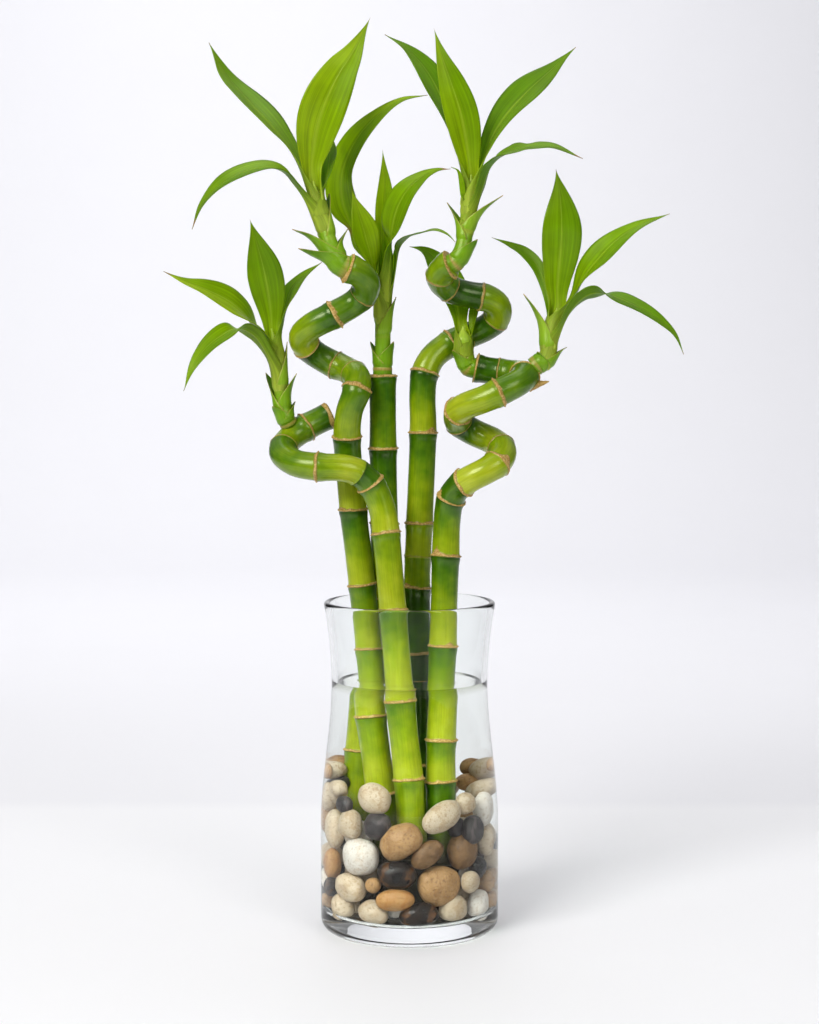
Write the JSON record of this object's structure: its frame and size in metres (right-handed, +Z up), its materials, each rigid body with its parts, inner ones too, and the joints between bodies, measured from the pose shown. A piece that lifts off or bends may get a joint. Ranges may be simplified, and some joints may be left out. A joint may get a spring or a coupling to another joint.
{
  "type": "lucky bamboo",
  "caption": "Lucky bamboo with green canes, most of them wound into open spirals, and leafy shoots, standing in a clear glass vase of water and pebbles.",
  "frame": {"origin": "middle of the vase's flat foot, on the surface that it stands on", "axes": "+Z up along the vase's axis; the plant fans out along X, and -Y is the side seen in the picture, its front"},
  "size_m": [0.2257, 0.08, 0.4049],
  "materials": {
    "glass": "clear, polished",
    "water": "clear, still",
    "cane": "smooth waxy green skin with scar rings",
    "shoot": "smooth pale green",
    "leaf": "satin green with fine lengthwise veins",
    "pebble_cream": "tumbled smooth",
    "pebble_white": "tumbled smooth",
    "pebble_tan": "tumbled smooth",
    "pebble_brown": "tumbled smooth",
    "pebble_grey": "tumbled smooth",
    "pebble_black": "polished",
    "pebble_amber": "tumbled smooth"
  },
  "bodies": {
    "root": {"glass_vase": "glass", "water": "water", "cane_left": "cane", "cane_front": "cane", "cane_middle": "cane", "cane_back": "cane", "cane_right": "cane", "shoot_left": "shoot", "shoot_front": "shoot", "shoot_middle": "shoot", "shoot_back": "shoot", "shoot_right": "shoot", "shoot_low": "shoot", "leaf_left_long": "leaf", "leaf_left_tall": "leaf", "leaf_left_drooping": "leaf", "leaf_left_inner": "leaf", "leaf_front_tall": "leaf", "leaf_front_wide": "leaf", "leaf_front_drooping": "leaf", "leaf_front_inner": "leaf", "leaf_middle_spear": "leaf", "leaf_middle_wide": "leaf", "leaf_middle_arching": "leaf", "leaf_middle_broad": "leaf", "leaf_middle_long": "leaf", "leaf_back_long": "leaf", "leaf_back_tall": "leaf", "leaf_back_wide": "leaf", "leaf_back_drooping": "leaf", "leaf_back_small": "leaf", "leaf_right_tall": "leaf", "leaf_right_wide": "leaf", "leaf_right_drooping": "leaf", "leaf_right_inner": "leaf", "leaf_low_broad": "leaf", "leaf_low_small": "leaf", "pebble_cream_top_left": "pebble_cream", "pebble_white_round": "pebble_white", "pebble_tan_middle": "pebble_tan", "pebble_cream_tilted": "pebble_cream", "pebble_grey_left": "pebble_grey", "pebble_black_veined": "pebble_black", "pebble_amber_low": "pebble_amber", "pebble_black_low": "pebble_black", "pebble_tan_large": "pebble_tan", "pebble_brown_small": "pebble_brown", "pebble_brown_right": "pebble_brown", "pebble_grey_right": "pebble_grey", "pebble_white_right": "pebble_white", "pebble_cream_right": "pebble_cream", "pebble_cream_left": "pebble_cream", "pebble_cream_edge": "pebble_cream", "pebble_amber_edge": "pebble_amber", "pebble_cream_wide": "pebble_cream", "pebble_cream_corner": "pebble_cream", "pebble_cream_low": "pebble_cream", "pebble_cream_foot": "pebble_cream", "pebble_white_foot": "pebble_white", "pebble_bed": "pebble_tan"}
  },
  "joints": []
}
